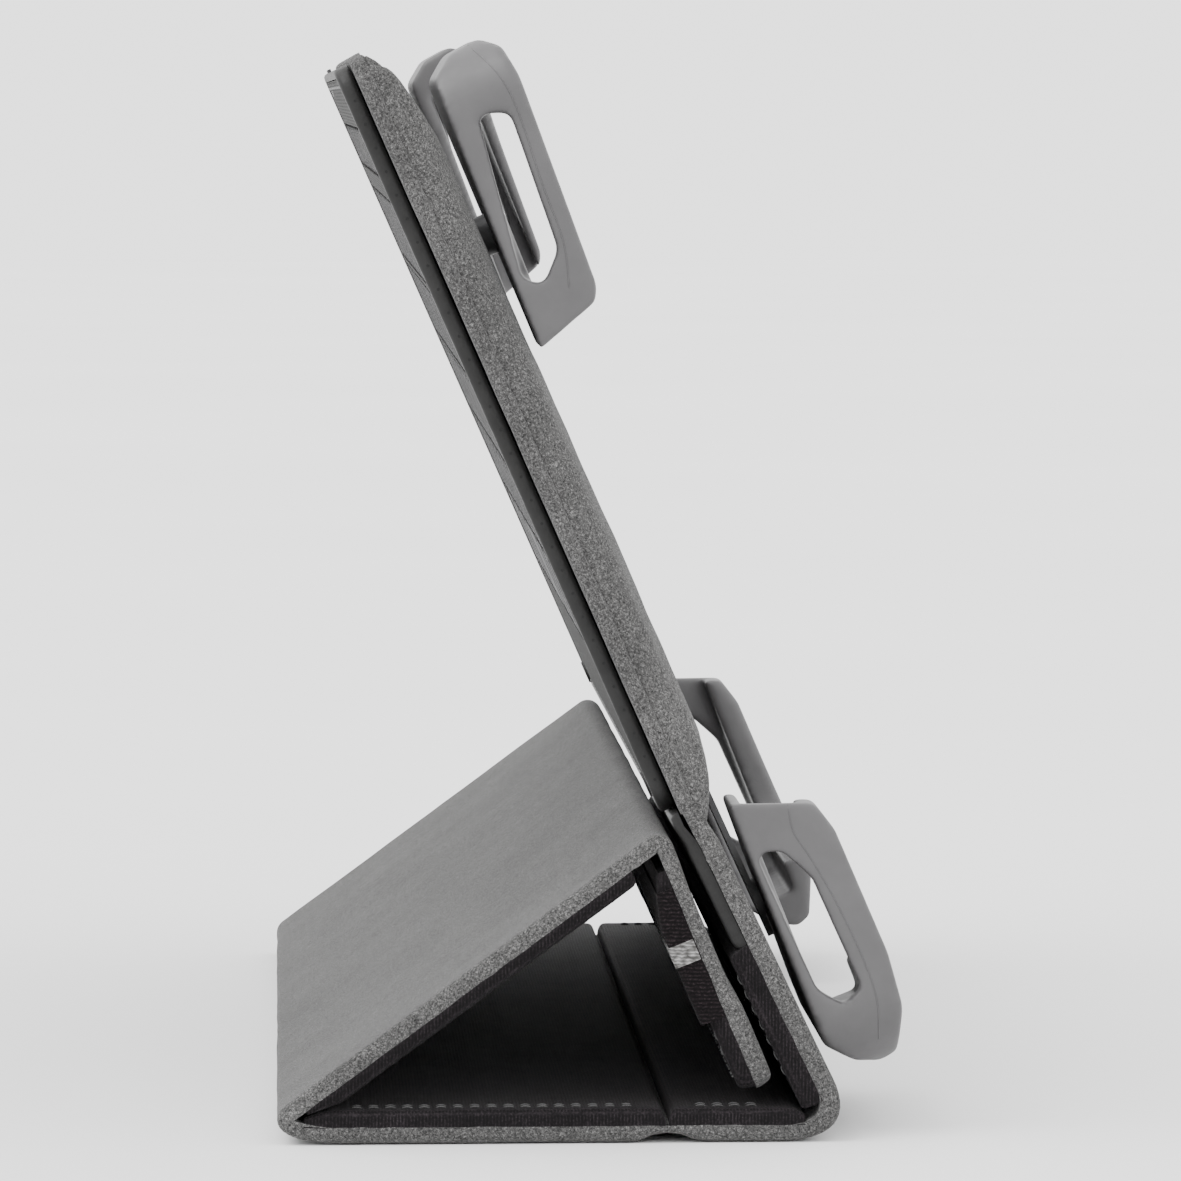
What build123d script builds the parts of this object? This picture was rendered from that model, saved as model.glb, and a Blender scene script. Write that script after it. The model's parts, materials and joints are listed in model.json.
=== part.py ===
from build123d import *
import math
import os

# Tablet keyboard folio, standing as an easel. Millimetres and degrees.
# X runs across the stand from its low front fold to the tablet side, Y along
# the tablet's long edge, Z up. The origin is on the floor, at the middle of
# the footprint's bounding box.

# ---- driving dimensions ----
COVER_WIDTH = 255.0          # cover, along Y
ORIGIN_SHIFT = 52.33         # from the low fold's outermost line to the origin
TABLET = (7.5, 240.0, 169.5)  # the tablet that the grips hold: thick, long, short
TABLET_CORNER = 9.0

SKIN_OUTER = 1.2             # felted outer cloth
SKIN_LINING = 1.0            # woven lining cloth
HALF_PANEL = 2.8             # half of a cover panel's thickness
FOLD_RADIUS = 2.8            # rolled cloth at each fold
FOLD_GAP = 0.35
WEDGE_GAP = 0.2

LOW_FOLD = (3.0, 4.0)        # fold between base and prop (x from the low fold, z)
GROOVE = (64.8, 2.8)         # crease between base and spine
BACK_FOLD = (89.3, 3.6)      # fold between spine and back cover
PROP_SLOPE = 36.4
PROP_LENGTH = 74.7
FLAP_DROP = 67.3             # below horizontal, away from the prop's top
FLAP_LENGTH = 43.4
BACK_LEAN = 23.0             # reference lean of the back, from vertical
LOWER_LEAN = 25.6            # plain lower part of the back cover
UPPER_LEAN = 23.75           # padded part and keyboard
SEAT_LEAN = 21.8             # tablet
LOWER_START, LOWER_END = 3.6, 50.0
LOWER_OFFSET = 2.5           # lower panel's cloth seam, outside the fold's axis
UPPER_FROM = (55.0, -0.6)    # (up the back, towards the tablet) of the upper panel's foot
UPPER_LENGTH = 136.7
LIP_THICKNESS = 2.2
PAD_THICKNESS = 7.7          # from the upper panel's back face to the pad's front
SEAT_CENTRE = (94.3, 10.5)   # tablet's centre, on its back face

FLAP_FOLD_IN = 30.0          # how far the flap tucks in towards the prop
POCKET_FROM = 30.6           # lower panel's lining ends and the keyboard's pocket begins

KEYBOARD_THICKNESS = 2.8
KEYBOARD_GAP = 0.2
KEYBOARD_WIDTH = 246.0
KEYBOARD_FOOT = 1.2          # keyboard's lower edge above the upper panel's foot
KEYBOARD_HEIGHT = 134.5
KEY_PITCH = 16.6
KEY_GAP = 1.6
KEY_ROWS = (14, 14, 14, 13, 12, 8)
FLOOR_SKIN, SIDE_SKIN = 0.6, 1.6   # keyboard shell's floor and wall
DECK = (2.0, 2.6)            # cloth-laminated deck, depths in the shell
KEY_DEPTHS = (1.55, 2.55)    # keycaps at rest

GRIP_LEG = 51.4              # each grip's legs, from its outer corner
GRIP_SIDE = 3.2              # wall over the tablet's short edge
GRIP_END = 7.2               # wall beyond the tablet's long edge
GRIP_CLEAR = 0.25
LIP_REACH = 5.5              # how far the front lip covers the glass
# side outlines of the grips: (out of the screen, from the tablet's middle)
GRIP_OUTLINE = {
    1: [(-3.15, 40.8), (-3.15, 88.0), (1.0, 91.3), (6.5, 92.0), (9.6, 89.5),
        (10.4, 84.0), (9.4, 47.0), (8.2, 44.7)],
    -1: [(-2.5, 40.8), (-2.5, 84.5), (1.5, 89.5), (6.0, 92.0), (8.8, 91.0),
         (12.2, 83.5), (13.2, 74.0), (12.6, 51.5), (11.0, 46.0)],
}
# side windows of the grips, in the same axes
GRIP_WINDOW = {
    1: [(1.6, 80.6), (6.6, 78.8), (5.6, 55.0), (1.2, 50.4), (-1.6, 52.8)],
    -1: [(-1.2, 50.0), (3.0, 51.4), (6.0, 57.5), (6.9, 77.8), (3.2, 79.2), (0.0, 75.2)],
}
WINDOW_CORNER = 1.5
ARM_WIDTH, ARM_THICKNESS, ARM_LENGTH = 12.0, 1.0, 56.0
ARM_OUT, ARM_IN = 8.0, 6.0   # diagonal travel of each grip
POST_RADIUS = 3.5
POST_INSET = 24.0            # post from the tablet's two edges

HALF = COVER_WIDTH / 2
FAR = 400.0
EDGE = 1.0                   # rounding of panel rims


# ---- frames ----
def frame_at(x, z, turn):
    """Frame turned about Y: its local X points `turn` degrees above world X."""
    return Pos(x - ORIGIN_SHIFT, 0, z) * Rot(0, -turn, 0)


def on_back(up, out):
    """World x, z of a point `up` the back from its fold and `out` towards the tablet."""
    lean = math.radians(BACK_LEAN)
    x = BACK_FOLD[0] - up * math.sin(lean) + out * math.cos(lean)
    z = BACK_FOLD[1] + up * math.cos(lean) + out * math.sin(lean)
    return x, z


def polar(origin, angle, distance):
    turn = math.radians(angle)
    return origin[0] + distance * math.cos(turn), origin[1] + distance * math.sin(turn)


APEX = polar(LOW_FOLD, PROP_SLOPE, PROP_LENGTH)
BASE = frame_at(0, HALF_PANEL, 0)
PROP = frame_at(*LOW_FOLD, PROP_SLOPE)
FLAP = frame_at(*APEX, -FLAP_DROP)
LOWER = frame_at(*on_back(0, LOWER_OFFSET), 90 + LOWER_LEAN)
UPPER = frame_at(*on_back(*UPPER_FROM), 90 + UPPER_LEAN)
SEAT = frame_at(*on_back(*SEAT_CENTRE), SEAT_LEAN)   # X out of the screen, Z up the tablet


# ---- building blocks ----
def block(x0, x1, y0, y1, z0, z1):
    box = Box(x1 - x0, y1 - y0, z1 - z0)
    return Pos((x0 + x1) / 2, (y0 + y1) / 2, (z0 + z1) / 2) * box


def roll(point, radius, width=COVER_WIDTH - 3.0):
    """Round bar along Y on a fold's axis."""
    return frame_at(*point, 0) * Rot(90, 0, 0) * Cylinder(radius, width)


def group(solids):
    return Compound(children=list(solids))


def as_solids(shape):
    """A plain compound of the solids that a boolean left."""
    solids = shape.solids()
    return solids[0] if len(solids) == 1 else Compound(children=solids)


def wedge(point, angle, side):
    """Half space beside a fold's bisecting plane. side is +1 for its +Z side."""
    low, high = (-WEDGE_GAP, 60) if side > 0 else (-60, WEDGE_GAP)
    return frame_at(*point, angle) * block(0, 30, -FAR, FAR, low, high)


def panel(frame, start, end, side, cuts, lining_end=None, outer=HALF_PANEL,
          lining=HALF_PANEL, tip_radius=0.0, board_start=5.0):
    """Outer cloth, board and lining of one cover panel.

    The cloths are two shallow trays that meet at the seam plane z = 0 and
    close round the board. side is +1 where the lining faces local +Z.
    """
    lining_end = lining_end or end

    def half(length, depth, sign):
        low, high = sorted((0, sign * depth))
        shape = block(start, length, -HALF, HALF, low, high)
        if tip_radius:
            tips = shape.edges().filter_by(Axis.Z).group_by(Axis.X)[-1]
            shape = fillet(tips, tip_radius)
        face = shape.faces().sort_by(Axis.Z)[-1 if sign > 0 else 0]
        rim = [e for e in face.edges() if abs(e.center().X - start) > 0.01]
        return fillet(rim, EDGE)

    board_low = -(outer - SKIN_OUTER) if side > 0 else -(lining - SKIN_LINING)
    board_high = (lining - SKIN_LINING) if side > 0 else (outer - SKIN_OUTER)
    board = block(start + board_start, min(end, lining_end) - 1.6,
                  -HALF + 1.6, HALF - 1.6, board_low, board_high)
    outer_tray = half(end, outer, -side) - board
    lining_tray = half(lining_end, lining, side) - board
    made = []
    for shape in (outer_tray, board, lining_tray):
        shape = frame * shape
        for cut in cuts:
            shape = shape - cut
        made.append(as_solids(shape))
    return made


parts = {}


# ---- base: lies on the table ----
def base():
    bisector = PROP_SLOPE / 2
    cuts = [wedge(LOW_FOLD, bisector, 1), roll(LOW_FOLD, FOLD_RADIUS, FAR)]
    outer, board, lining = panel(BASE, LOW_FOLD[0] + 1.2, GROOVE[0] - 2.2, 1, cuts,
                                 board_start=8.0)
    # the underside is relieved beside the groove
    parts["base_outer_cloth"] = outer - groove_relief()
    parts["base_board"] = board
    parts["base_lining"] = lining
    parts["base_prop_fold"] = roll(LOW_FOLD, FOLD_RADIUS)
    parts["groove_cloth"] = groove_cloth()


def groove_relief():
    """Shallow hollow along the underside, where the cloth is drawn into the groove."""
    radius, height = 9.0, 1.5
    return roll((GROOVE[0], height - radius), radius, FAR)


def groove_cloth():
    """Thin web across the groove, fixed to the base and bearing on the spine."""
    x = GROOVE[0]
    web = block(x - 2.2, x + 1.9, -HALF + 2, HALF - 2, HALF_PANEL - 0.5, HALF_PANEL + 0.5)
    return Pos(-ORIGIN_SHIFT, 0, 0) * web


# ---- spine: the narrow panel under the back's fold ----
def spine():
    lower_angle = 90 + LOWER_LEAN
    bisector = (180 + lower_angle) / 2
    cuts = [wedge(BACK_FOLD, bisector, -1), roll(BACK_FOLD, FOLD_RADIUS, FAR)]
    turned = frame_at(BACK_FOLD[0], HALF_PANEL, 180)
    outer, board, lining = panel(turned, 1.6, BACK_FOLD[0] - GROOVE[0] - 2.2, -1, cuts,
                                 board_start=4.0)
    parts["spine_outer_cloth"] = outer - groove_relief()
    parts["spine_board"] = board
    parts["spine_lining"] = lining
    parts["spine_back_fold"] = roll(BACK_FOLD, FOLD_RADIUS)


# ---- prop: the sloping panel behind the back ----
def prop():
    clear = FOLD_RADIUS + FOLD_GAP
    apex_clear = FOLD_RADIUS
    cuts = [wedge(LOW_FOLD, PROP_SLOPE / 2, -1), roll(LOW_FOLD, clear, FAR),
            roll(APEX, apex_clear, FAR), apex_wedge(1)]
    outer, board, lining = panel(PROP, 2.2, PROP_LENGTH - 1.4, -1, cuts, board_start=7.0)
    parts["prop_outer_cloth"] = outer
    parts["prop_board"] = board - prop_end_relief()
    parts["prop_lining"] = lining
    parts["prop_flap_fold"] = roll(APEX, FOLD_RADIUS)


def apex_wedge(side):
    """Room at the top fold for the flap to tuck in. side +1 trims the prop, -1 the flap."""
    closed = (180 - FLAP_DROP - PROP_SLOPE - FLAP_FOLD_IN) / 2
    prop_back = 180 + PROP_SLOPE
    if side > 0:
        angle = prop_back + closed
        return frame_at(*APEX, angle) * block(0, 30, -FAR, FAR, -WEDGE_GAP, 60)
    angle = -FLAP_DROP - closed
    return frame_at(*APEX, angle) * block(0, 30, -FAR, FAR, -60, WEDGE_GAP)


def prop_end_relief():
    """The board stops short of the top fold."""
    return PROP * block(PROP_LENGTH - 6, PROP_LENGTH + 10, -FAR, FAR, -10, 10)


# ---- flap: hangs from the prop's top, flat against the back cover ----
def flap():
    clear = FOLD_RADIUS + FOLD_GAP
    cuts = [roll(APEX, clear, FAR), apex_wedge(-1)]
    outer, board, lining = panel(FLAP, 2.2, FLAP_LENGTH, -1, cuts, tip_radius=5.0,
                                 board_start=6.0)
    spots = [(FLAP_LENGTH - 12, y) for y in (-90, -30, 30, 90)]
    parts["flap_magnets"] = magnets(FLAP, spots, -0.6, 0.6)
    parts["flap_outer_cloth"] = outer
    parts["flap_board"] = board - group(magnets(FLAP, spots, -0.6, 0.6).solids())
    parts["flap_lining"] = lining
    band = FLAP * block(9.5, 29.5, -HALF + 1, HALF - 1, -HALF_PANEL - 1.9, -HALF_PANEL)
    stripe_low, stripe_high = 15.5, 19.1
    stripe = FLAP * block(stripe_low, stripe_high, -HALF + 1, HALF - 1,
                          -HALF_PANEL - 1.9, -HALF_PANEL - 1.2)
    parts["elastic_band"] = band - stripe
    parts["band_stripe"] = stripe


def magnets(frame, spots, low, high, radius=5.0):
    disc = Cylinder(radius, high - low)
    return group(frame * Pos(x, y, (low + high) / 2) * disc for x, y in spots)


# ---- lower back: plain panel between the fold and the padded part ----
def lower_back():
    lower_angle = 90 + LOWER_LEAN
    bisector = (180 + lower_angle) / 2
    cuts = [wedge(BACK_FOLD, bisector, 1), roll(BACK_FOLD, FOLD_RADIUS + FOLD_GAP, FAR)]
    outer, board, lining = panel(LOWER, LOWER_START, LOWER_END, 1, cuts,
                                 lining_end=POCKET_FROM, outer=3.2, lining=3.2,
                                 board_start=4.0)
    spots = [(19.5, y) for y in (-90, -30, 30, 90)]
    catch = magnets(LOWER, spots, -0.6, 0.6)
    parts["back_lower_cloth"] = outer
    parts["back_lower_board"] = board - group(catch.solids())
    parts["back_lower_lining"] = lining
    parts["back_magnets"] = catch


# ---- upper back: cloth shell, board, foam and the grip cradle ----
def out(h0, h1):
    """Local Z range on the upper panel for heights h towards the tablet."""
    return -h1, -h0


def upper_slab(x0, x1, inset, h0, h1):
    low, high = out(h0, h1)
    return block(x0, x1, -HALF + inset, HALF - inset, low, high)


TRAY_FLOOR = 4.3             # heights inside the pad, from the panel's back face
ARM_LEVEL = (5.6, 5.6 + ARM_THICKNESS)
ARM_GAP = 0.1
TRAY_TOP = ARM_LEVEL[1] + ARM_GAP
PLATE_TOP = TRAY_TOP + 0.4
SPRING_RADIUS = 0.45
GRIP_NAMES = (("top_near", -1, 1), ("top_far", 1, 1),
              ("bottom_near", -1, -1), ("bottom_far", 1, -1))


def post_on_upper(side, end):
    """Place of a grip's post on the upper panel: along it, and along Y."""
    seat_up = end * (TABLET[2] / 2 - POST_INSET)
    along = SEAT_CENTRE[0] - UPPER_FROM[0] + seat_up
    return along, side * (TABLET[1] / 2 - POST_INSET)


def diagonal(side, end):
    """Frame on the upper panel whose X runs outwards along a grip's travel."""
    along, across = post_on_upper(side, end)
    return Pos(along, across, 0) * Rot(0, 0, math.degrees(math.atan2(side, end)))


def channel(side, end, half_width, h0, h1, inner, outer):
    low, high = out(h0, h1)
    return diagonal(side, end) * block(-inner, outer, -half_width, half_width, low, high)


def pad_body():
    """Crowned pad with a long taper at its foot and a rounded head."""
    head, foot = UPPER_LENGTH - 1.5, -3.5
    outline = [(foot, LIP_THICKNESS), (head, LIP_THICKNESS), (head - 3.5, 4.6),
               (head - 13, PAD_THICKNESS), (foot + 17, PAD_THICKNESS), (foot + 4.5, 4.2)]
    points = [(x, -h) for x, h in outline]
    face = make_face(Polyline(*points, close=True))
    solid = extrude(face, HALF - 1.0, both=True)
    return Rot(90, 0, 0) * solid


def upper_back():
    lip = upper_slab(0.4, UPPER_LENGTH, 0, 0, LIP_THICKNESS)
    lip = fillet(lip.edges().filter_by(Axis.Z).group_by(Axis.X)[-1], 6.0)
    board = upper_slab(4.0, UPPER_LENGTH - 3.0, 3.0, 0.8, LIP_THICKNESS)
    keepers = [(x, y) for x in (28.0, 108.0) for y in (-100, -34, 34, 100)]
    hold = magnets(UPPER, keepers, *out(0.8, 2.0), radius=6.0)
    parts["back_upper_cloth"] = as_solids(UPPER * (lip - board))
    parts["back_upper_board"] = as_solids(UPPER * board - group(hold.solids()))
    parts["keyboard_hold_magnets"] = hold

    pad = pad_body()
    inner = pad & upper_slab(3.0, UPPER_LENGTH - 5.5, 4.0, LIP_THICKNESS, PLATE_TOP)
    tray = upper_slab(13.0, UPPER_LENGTH - 14.0, 10.0, TRAY_FLOOR, TRAY_TOP)
    plate = upper_slab(13.0, UPPER_LENGTH - 14.0, 10.0, TRAY_TOP, PLATE_TOP)
    cover, foam = pad - inner, inner - tray - plate
    springs = []
    for _, side, end in GRIP_NAMES:
        way = channel(side, end, ARM_WIDTH / 2 + 0.4, ARM_LEVEL[0] - ARM_GAP, TRAY_TOP,
                      ARM_LENGTH + ARM_IN + 1, ARM_WIDTH / 2 + ARM_OUT + 1)
        slot = channel(side, end, POST_RADIUS + 0.5, ARM_LEVEL[0], 9.0,
                       POST_RADIUS + ARM_IN + 0.5, POST_RADIUS + ARM_OUT + 0.5)
        tray -= way
        cover, foam = cover - way, foam - way
        if end > 0:
            plate, cover, foam = plate - slot, cover - slot, foam - slot
        level = (TRAY_FLOOR + ARM_LEVEL[0]) / 2
        cord = diagonal(side, end) * Pos(-59, 0, -level) * Rot(0, 90, 0)
        spring = cord * Cylinder(SPRING_RADIUS, 12.0)
        springs.append(spring)
        tray -= spring
    parts["pad_cloth"] = as_solids(UPPER * cover)
    parts["pad_foam"] = as_solids(UPPER * foam)
    parts["cradle_tray"] = as_solids(UPPER * tray)
    parts["cradle_cover_plate"] = as_solids(UPPER * plate)
    parts["grip_springs"] = group(UPPER * s for s in springs)
    parts["crease_strip"] = crease_strip()


def crease_strip():
    """Flexible cloth between the lower panel's top and the padded part's foot."""
    corners = [(LOWER, LOWER_END, 0.0), (LOWER, LOWER_END, -3.0),
               (UPPER, 0.4, -LIP_THICKNESS), (UPPER, 0.4, 0.0)]
    points = []
    for frame, x, z in corners:
        spot = frame * Pos(x, 0, z)
        points.append((spot.position.X, spot.position.Z))
    face = make_face(Polyline(*points, close=True))
    solid = Rot(90, 0, 0) * extrude(face, HALF - 1.5, both=True)
    return solid - UPPER * pad_body() - parts["back_lower_cloth"]


def keyboard_pocket():
    """Smooth edge strip that the keyboard's lower edge stands in."""
    strip = LOWER * block(POCKET_FROM + 0.3, LOWER_END + 2.4, -HALF + 1, HALF - 1, 0.05, 2.3)
    ledge_low, ledge_high = -3.0, KEYBOARD_FOOT - 0.1
    ledge = UPPER * block(ledge_low, ledge_high, -HALF + 1, HALF - 1, KEYBOARD_GAP, 1.8)
    others = parts["crease_strip"]
    parts["keyboard_pocket"] = as_solids((strip + ledge) - others - parts["back_lower_cloth"])


# ---- grips ----
def grip(name, side, end):
    """Soft corner grip with a side window, and the nylon arm that carries it."""
    corner_y, corner_z = TABLET[1] / 2 + GRIP_SIDE, TABLET[2] / 2 + GRIP_END
    inner_y, inner_z = corner_y - GRIP_LEG, corner_z - GRIP_LEG
    web = 20.0
    plan = [(corner_y, corner_z), (inner_y, corner_z), (inner_y, corner_z - web * 0.7),
            (corner_y - web * 0.9, inner_z), (corner_y, inner_z)]
    face = Plane.YZ.offset(-10) * make_face(Polyline(*plan, close=True))
    solid = extrude(face, 40)
    outer_edges = solid.edges().filter_by(Axis.X).group_by(Axis.Z)[-1]
    solid = fillet(outer_edges.sort_by(Axis.Y)[-1:], 13.0)
    outline = make_face(Polyline(*GRIP_OUTLINE[end], close=True))
    solid &= Rot(90, 0, 0) * extrude(outline, 2 * TABLET[1], both=True)
    room = Box(TABLET[0] + 2 * GRIP_CLEAR, TABLET[1] + 2 * GRIP_CLEAR,
               TABLET[2] + 2 * GRIP_CLEAR)
    room = fillet(room.edges().filter_by(Axis.X), TABLET_CORNER)
    solid -= Pos(TABLET[0] / 2, 0, 0) * room
    screen_y, screen_z = TABLET[1] / 2 - LIP_REACH, TABLET[2] / 2 - LIP_REACH
    screen = block(TABLET[0], 40, -screen_y, screen_y, -screen_z, screen_z)
    screen = fillet(screen.edges().filter_by(Axis.X), 16.0)
    solid -= screen
    solid -= window(end)
    mirrored = solid if side > 0 else mirror(solid, Plane.XZ)
    mirrored = mirrored if end > 0 else mirror(mirrored, Plane.XY)
    arm = grip_arm(side, end)
    parts[f"grip_{name}"] = as_solids(SEAT * mirrored - arm)
    parts[f"grip_arm_{name}"] = arm


def window(end):
    """Rounded opening through the wall over the tablet's short edge."""
    outline = make_face(Polyline(*GRIP_WINDOW[end], close=True))
    outline = fillet(outline.vertices(), WINDOW_CORNER)
    depth = 5.5
    slot = Rot(90, 0, 0) * extrude(outline, depth, both=True)
    return Pos(0, TABLET[1] / 2 - 1 + depth, 0) * slot


def grip_arm(side, end):
    """Flat arm in the cradle's channel, with a post and a flange inside the grip."""
    low, high = out(*ARM_LEVEL)
    bar = block(-ARM_LENGTH, ARM_WIDTH / 2, -ARM_WIDTH / 2, ARM_WIDTH / 2, low, high)
    bar = fillet(bar.edges().filter_by(Axis.Z).group_by(Axis.X)[-1], 4.0)
    rise = post_rise(end)
    post = Pos(0, 0, -(ARM_LEVEL[1] + rise) / 2) * Cylinder(POST_RADIUS, rise - ARM_LEVEL[1])
    flange = Pos(0, 0, -rise + 0.5) * Cylinder(6.0, 1.0)
    return as_solids(UPPER * diagonal(side, end) * (bar + post + flange))


def post_rise(end):
    """Height of the post's top on the upper panel: inside the grip's back wall."""
    along, _ = post_on_upper(1, end)
    seat_x, seat_z = on_back(*SEAT_CENTRE)
    up = end * (TABLET[2] / 2 - POST_INSET)
    lean = math.radians(SEAT_LEAN)
    x, z = seat_x - up * math.sin(lean), seat_z + up * math.cos(lean)
    foot_x, foot_z = on_back(*UPPER_FROM)
    lean = math.radians(UPPER_LEAN)
    height = (x - foot_x) * math.cos(lean) + (z - foot_z) * math.sin(lean)
    return height - 1.2


# ---- keyboard ----
def keyboard_slab(x0, x1, y0, y1, depth0, depth1):
    """Block at depths behind the upper panel's back face."""
    return block(x0, x1, y0, y1, KEYBOARD_GAP + depth0, KEYBOARD_GAP + depth1)


def key_cells():
    """Every key's row, place and size on the keyboard, in the upper panel's frame."""
    half = KEYBOARD_WIDTH / 2 - 7.0
    cells = []
    for row, count in enumerate(KEY_ROWS):
        pitch = 2 * half / count
        x = KEYBOARD_FOOT + KEYBOARD_HEIGHT - 15.0 - row * KEY_PITCH
        height = KEY_PITCH * (0.62 if row == 0 else 1.0)
        for i in range(count):
            low, high = -half + i * pitch, -half + (i + 1) * pitch
            if row == len(KEY_ROWS) - 1 and i == 3:
                high += pitch
            if row == len(KEY_ROWS) - 1 and i == 4:
                continue
            cells.append((row, x, (low + high) / 2, height - KEY_GAP, high - low - KEY_GAP))
    return cells


def keyboard():
    x0, x1 = KEYBOARD_FOOT, KEYBOARD_FOOT + KEYBOARD_HEIGHT
    half = KEYBOARD_WIDTH / 2
    deck, rows = keyboard_shell(x0, x1, half)
    parts["keyboard_deck"] = as_solids(UPPER * deck)
    for row, caps in rows.items():
        parts[f"key_row_{row + 1}"] = group(UPPER * cap for cap in caps)
    keyboard_insides(x0, x1, half)
    keyboard_controls(x1)


def keyboard_shell(x0, x1, half):
    """Shell tray, the deck in it and the keycaps in the deck's openings."""
    corner, rounding, slack = 5.0, 0.6, 0.1
    shell = keyboard_slab(x0, x1, -half, half, 0, KEYBOARD_THICKNESS)
    shell = fillet(shell.edges().filter_by(Axis.Z), corner)
    shell = fillet(shell.faces().sort_by(Axis.Z)[-1].edges(), rounding)
    shell -= keyboard_slab(x0 + SIDE_SKIN, x1 - SIDE_SKIN, -half + SIDE_SKIN,
                           half - SIDE_SKIN, FLOOR_SKIN, 9)
    inset = SIDE_SKIN + slack
    deck = keyboard_slab(x0 + inset, x1 - inset, -half + inset, half - inset, *DECK)
    around, cap_corner = 0.3, 1.6
    rows = {}
    for row, x, y, tall, wide in key_cells():
        tall_half, wide_half = tall / 2, wide / 2
        deck -= keyboard_slab(x - tall_half - around, x + tall_half + around,
                              y - wide_half - around, y + wide_half + around, 1, 4)
        cap = keyboard_slab(x - tall_half, x + tall_half, y - wide_half, y + wide_half,
                            *KEY_DEPTHS)
        cap = fillet(cap.edges().filter_by(Axis.Z), cap_corner)
        rows.setdefault(row, []).append(cap)
    for opening in control_openings(x1):
        shell -= opening
    for lamp in lamps(x1):
        deck -= lamp
    parts["keyboard_shell"] = as_solids(UPPER * shell)
    return deck, rows


def control_openings(x1):
    """Openings in the shell's top edge: charging port, power switch, connect button."""
    depths = (0.9, 2.0)
    return [keyboard_slab(x1 - 6, x1 + 1, -4.6, 4.6, 0.9, 2.5),
            keyboard_slab(x1 - 5, x1 + 1, 88, 98, *depths),
            keyboard_slab(x1 - 5, x1 + 1, 104, 110, *depths)]


def lamps(x1):
    return [keyboard_slab(x1 - 4.6, x1 - 3.4, y - 0.6, y + 0.6, *DECK)
            for y in (90, 94, 98)]


def keyboard_insides(x0, x1, half):
    """Backing plate, membrane, battery cells and circuit board on the shell's floor."""
    margin, battery_end = 5.0, 27.0
    plate_top, sheet_top = FLOOR_SKIN + 0.2, FLOOR_SKIN + 0.25
    zone = (x0 + 38, x1 - 4, -half + margin, half - margin)
    plate = keyboard_slab(*zone, FLOOR_SKIN, plate_top)
    sheet = keyboard_slab(*zone, plate_top, sheet_top)
    cells = [keyboard_slab(x0 + margin, x0 + battery_end, y - 42, y + 42, FLOOR_SKIN, 1.9)
             for y in (-48, 48)]
    circuit = keyboard_slab(x0 + margin, x0 + battery_end, 96, 116, FLOOR_SKIN, 1.2)
    parts["keyboard_backing_plate"] = as_solids(UPPER * plate)
    parts["keyboard_membrane"] = as_solids(UPPER * sheet)
    parts["keyboard_battery_cells"] = group(UPPER * c for c in cells)
    parts["keyboard_circuit_board"] = as_solids(UPPER * circuit)
    foot_radius, foot_height, foot_depth = 2.2, 0.5, KEYBOARD_GAP + KEYBOARD_THICKNESS + 0.05
    foot = Cylinder(foot_radius, foot_height)
    parts["keyboard_deck_feet"] = group(
        UPPER * Pos(x0 + 4.5, y, foot_depth) * foot for y in (-half + 12, half - 12))


def keyboard_controls(x1):
    port = keyboard_slab(x1 - 5.5, x1 - 0.1, -4.4, 4.4, 0.9, 2.0)
    port -= keyboard_slab(x1 - 4.5, x1 + 1, -3.8, 3.8, 1.2, 1.7)
    switch = keyboard_slab(x1 - 4, x1 + 0.6, 88.4, 93.4, 1.1, 1.8)
    button = keyboard_slab(x1 - 4, x1 + 0.5, 104.4, 109.6, 1.1, 1.8)
    parts["charging_port"] = as_solids(UPPER * port)
    parts["status_lamps"] = group(UPPER * lamp for lamp in lamps(x1))
    parts["power_switch"] = as_solids(UPPER * switch)
    parts["connect_button"] = as_solids(UPPER * button)


base()
spine()
prop()
flap()
lower_back()
upper_back()
keyboard_pocket()
for grip_name, grip_side, grip_end in GRIP_NAMES:
    grip(grip_name, grip_side, grip_end)
keyboard()

os.makedirs("parts", exist_ok=True)
for node, shape in parts.items():
    export_step(shape, f"parts/{node}.step")

everything = Compound(children=[s for shape in parts.values() for s in shape.solids()])
box = everything.bounding_box()
print("nodes", len(parts))
print("box", [round(v, 2) for v in (*box.min, *box.max)])
for label, spot in (("low fold", LOW_FOLD), ("groove", GROOVE), ("back fold", BACK_FOLD),
                    ("apex", APEX)):
    print(label, round(spot[0] - ORIGIN_SHIFT, 3), round(spot[1], 3))
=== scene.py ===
import json
import math

import bmesh
import bpy
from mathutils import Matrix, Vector, noise


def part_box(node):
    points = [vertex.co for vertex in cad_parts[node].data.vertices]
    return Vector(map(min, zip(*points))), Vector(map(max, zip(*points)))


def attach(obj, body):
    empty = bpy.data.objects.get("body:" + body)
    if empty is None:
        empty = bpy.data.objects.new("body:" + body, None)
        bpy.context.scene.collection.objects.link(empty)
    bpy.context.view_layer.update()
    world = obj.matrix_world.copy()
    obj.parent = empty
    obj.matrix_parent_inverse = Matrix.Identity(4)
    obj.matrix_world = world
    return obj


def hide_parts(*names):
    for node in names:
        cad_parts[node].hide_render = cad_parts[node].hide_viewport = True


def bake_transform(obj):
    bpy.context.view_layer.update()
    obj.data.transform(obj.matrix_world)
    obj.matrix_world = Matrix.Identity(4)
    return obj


# Tablet keyboard case standing as an easel. Sections are drawn in the XZ plane in
# millimetres and spread along Y, the tablet's long edge.

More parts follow.
